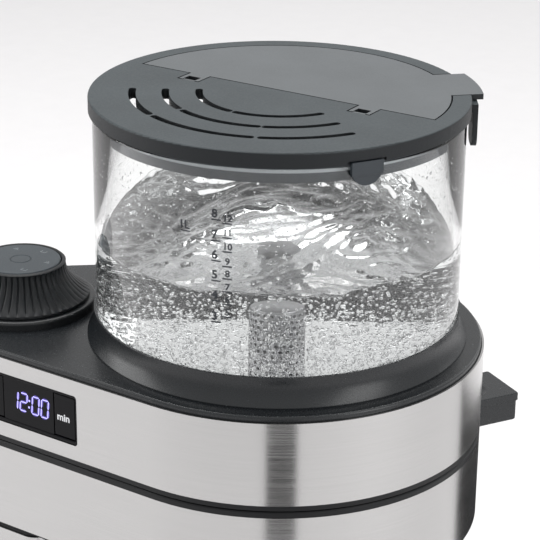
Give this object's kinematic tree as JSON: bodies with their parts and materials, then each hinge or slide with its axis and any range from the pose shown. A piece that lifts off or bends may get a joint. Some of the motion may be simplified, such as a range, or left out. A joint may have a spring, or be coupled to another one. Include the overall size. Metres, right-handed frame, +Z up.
{
  "type": "filter coffee machine",
  "caption": "Tall filter coffee machine: glass boiling vessel with flap lid over a swing-out filter carrier, side column, clock panel, selector knob and insulated carafe.",
  "frame": {"origin": "centre of the rubber foot ring on the table plane, under the brewing axis", "axes": "+Z up along the brewing axis, +X along the machine away from its column, -Y towards the front with the clock"},
  "size_m": [0.2256, 0.1861, 0.3724],
  "materials": {
    "lid_plastic": "fine-grained satin",
    "flap_plastic": "smooth satin",
    "deck_plastic": "satin",
    "black_plastic": "satin",
    "knob_plastic": "ribbed satin",
    "disc_plastic": "satin",
    "ring_plastic": "satin",
    "steel_brushed": "brushed along its length",
    "steel_plain": "satin",
    "vessel_glass": "clear, polished",
    "silicone": "translucent, soft",
    "rubber_black": "matt",
    "panel_black": "gloss",
    "board_green": "solder mask",
    "copper_coil": "enamelled wire",
    "spring_steel": "bright",
    "terminal_white": "plain",
    "wire_insulation": "plain"
  },
  "bodies": {
    "machine": {"base_shell": "black_plastic", "base_plate": "black_plastic", "case_screws": "spring_steel", "feet": "rubber_black", "carafe_mat": "rubber_black", "cord_gland": "rubber_black", "column_frame": "black_plastic", "column_cladding": "steel_brushed", "pivot_tube": "steel_plain", "wiring_loom": "wire_insulation", "upper_housing": "black_plastic", "upper_band": "steel_brushed", "display_panel": "panel_black", "display_window": "panel_black", "display_module": "board_green", "front_board": "board_green", "control_board": "board_green", "relay_board": "board_green", "top_plate": "deck_plastic", "vessel_gasket": "silicone", "vessel_floor": "steel_plain", "heating_element": "steel_plain", "thermostat": "steel_plain", "glass_vessel": "vessel_glass", "vessel_collar": "deck_plastic", "outlet_sieve": "steel_plain", "valve_seat": "silicone", "outlet_pipe": "steel_plain", "valve_spring": "spring_steel", "valve_coil": "copper_coil", "spray_head": "black_plastic", "knob_ring": "ring_plastic", "rotary_encoder": "steel_plain"},
    "lid_group": {"lid": "lid_plastic", "lid_seal": "silicone"},
    "flap": {"lid_flap": "flap_plastic"},
    "selector": {"knob": "knob_plastic", "knob_shaft": "steel_plain", "start_spring": "spring_steel"},
    "start_key": {"start_disc": "disc_plastic", "start_rod": "steel_plain"},
    "hour_button": {"hour_key": "panel_black"},
    "minute_button": {"minute_key": "panel_black"},
    "carrier": {"carrier_frame": "black_plastic", "carrier_deck": "black_plastic", "carrier_band": "steel_brushed", "pivot_bush": "terminal_white", "carrier_grip": "deck_plastic", "grip_cap": "deck_plastic", "filter_basket": "black_plastic", "drip_spring": "spring_steel"},
    "drip_plunger": {"drip_stop": "silicone"},
    "valve_plunger": {"drain_valve": "steel_plain"},
    "carafe": {"carafe_shell": "steel_brushed", "carafe_liner": "steel_plain", "carafe_collar": "black_plastic", "carafe_handle": "black_plastic", "lever_pin": "spring_steel"},
    "carafe_top": {"carafe_lid": "black_plastic"},
    "pour_lever": {"carafe_lever": "deck_plastic"}
  },
  "joints": [
    {"name": "lid_lift", "type": "slide", "parent": "machine", "child": "lid_group", "axis": [0, 0, 1], "range_m": [0, 0.12]},
    {"name": "flap_hinge", "type": "hinge", "parent": "lid_group", "child": "flap", "pos_m": [0.00023, -0.00519, 0.3714], "axis": [0.999, 0.0436, 0], "range_deg": [0, 100]},
    {"name": "knob_turn", "type": "hinge", "parent": "machine", "child": "selector", "pos_m": [-0.1001, -0.0406, 0.286], "axis": [0, 0, 1], "continuous": true},
    {"name": "start_press", "type": "slide", "parent": "selector", "child": "start_key", "axis": [0, 0, -1], "range_m": [0, 0.001], "stiffness_N_per_m": 800},
    {"name": "hour_press", "type": "slide", "parent": "machine", "child": "hour_button", "axis": [0, 1, 0], "range_m": [0, 0.0008], "stiffness_N_per_m": 600},
    {"name": "minute_press", "type": "slide", "parent": "machine", "child": "minute_button", "axis": [0, 1, 0], "range_m": [0, 0.0008], "stiffness_N_per_m": 600},
    {"name": "carrier_swing", "type": "hinge", "parent": "machine", "child": "carrier", "pos_m": [-0.0986, -0.04, 0.215], "axis": [0, 0, 1], "range_deg": [-75, 0]},
    {"name": "drip_stop_lift", "type": "slide", "parent": "carrier", "child": "drip_plunger", "axis": [0, 0, 1], "range_m": [0, 0.003], "stiffness_N_per_m": 300},
    {"name": "drain_valve_lift", "type": "slide", "parent": "machine", "child": "valve_plunger", "axis": [0, 0, 1], "range_m": [0, 0.003], "stiffness_N_per_m": 300},
    {"name": "carafe_slide", "type": "slide", "parent": "machine", "child": "carafe", "axis": [0.6428, -0.766, 0], "range_m": [0, 0.2]},
    {"name": "carafe_lid_turn", "type": "hinge", "parent": "carafe", "child": "carafe_top", "pos_m": [0, 0, 0.145], "axis": [0, 0, 1], "range_deg": [0, 60]},
    {"name": "pour_lever_press", "type": "hinge", "parent": "carafe", "child": "pour_lever", "pos_m": [0.03664, -0.04367, 0.1477], "axis": [0.766, 0.6428, 0], "range_deg": [0, 7], "stiffness_Nm_per_rad": 0.5}
  ]
}
